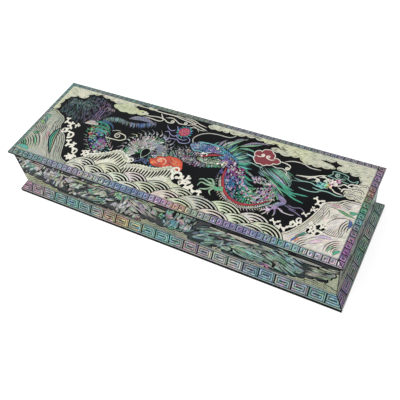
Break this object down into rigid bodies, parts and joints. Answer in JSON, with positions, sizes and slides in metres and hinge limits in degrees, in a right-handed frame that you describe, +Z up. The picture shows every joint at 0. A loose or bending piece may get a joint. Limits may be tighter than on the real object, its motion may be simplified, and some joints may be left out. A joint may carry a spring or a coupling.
{
  "type": "brush box",
  "caption": "Long, low lacquered box with a lift-off lid, a flared plinth and shell inlay on every outer face; its velvet-lined inside holds writing brushes.",
  "frame": {"origin": "middle of the underside, on the surface that the box stands on", "axes": "+X along the length to the right, +Y to the back, +Z up, the way the lid lifts"},
  "size_m": [0.31, 0.107, 0.0532],
  "materials": {
    "lacquer": "black lacquer on wood, high gloss",
    "shell": "iridescent shell inlay in black lacquer, polished flush",
    "velvet": "wine-red velvet on card",
    "felt": "black felt"
  },
  "bodies": {
    "box": {"base_felt": "felt", "bottom_board": "lacquer", "plinth_front": "lacquer", "plinth_right": "lacquer", "plinth_back": "lacquer", "plinth_left": "lacquer", "plinth_inlay_front": "shell", "plinth_inlay_right": "shell", "plinth_inlay_back": "shell", "plinth_inlay_left": "shell", "wall_front": "lacquer", "wall_right": "lacquer", "wall_back": "lacquer", "wall_left": "lacquer", "wall_inlay_front": "shell", "wall_inlay_right": "shell", "wall_inlay_back": "shell", "wall_inlay_left": "shell", "floor_lining": "velvet", "wall_lining_front": "velvet", "wall_lining_right": "velvet", "wall_lining_back": "velvet", "wall_lining_left": "velvet"},
    "lid": {"lid_board": "lacquer", "lid_picture_inlay": "shell", "lid_rail_front": "lacquer", "lid_rail_right": "lacquer", "lid_rail_back": "lacquer", "lid_rail_left": "lacquer", "lid_border_inlay_front": "shell", "lid_border_inlay_right": "shell", "lid_border_inlay_back": "shell", "lid_border_inlay_left": "shell", "lid_rim_front": "lacquer", "lid_rim_right": "lacquer", "lid_rim_back": "lacquer", "lid_rim_left": "lacquer", "lid_lining": "velvet"}
  },
  "joints": [
    {"name": "lid_lift", "type": "slide", "parent": "box", "child": "lid", "axis": [0, 0, 1], "range_m": [0, 0.06]}
  ]
}
